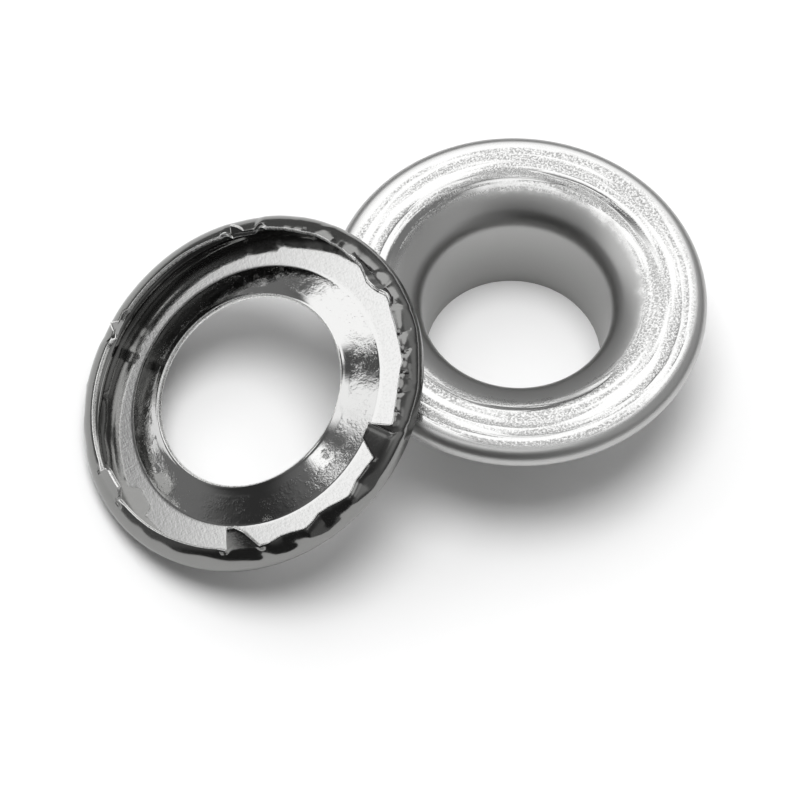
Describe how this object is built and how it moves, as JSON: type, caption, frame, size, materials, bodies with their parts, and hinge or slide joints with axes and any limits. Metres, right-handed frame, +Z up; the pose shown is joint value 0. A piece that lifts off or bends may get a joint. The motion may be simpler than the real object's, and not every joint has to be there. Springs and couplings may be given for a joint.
{
  "type": "grommet eyelet",
  "caption": "Sheet metal grommet eyelet with a broad flange and short barrel, and its toothed washer leaning on the flange.",
  "frame": {"origin": "middle of the set's footprint, on the ground that both pieces stand on", "axes": "+Z up along the grommet's axis, out of its flange; +X from the washer to the grommet; the plane y = 0 holds the middles of both"},
  "size_m": [0.0404, 0.024, 0.012],
  "materials": {
    "grommet": "bright plated, satin in the barrel, finely dappled on the flange",
    "toothed_washer": "bright plated, near mirror, with fine scratches on the cone and floor"
  },
  "bodies": {
    "root": {"grommet": "grommet", "toothed_washer": "toothed_washer"}
  },
  "joints": []
}
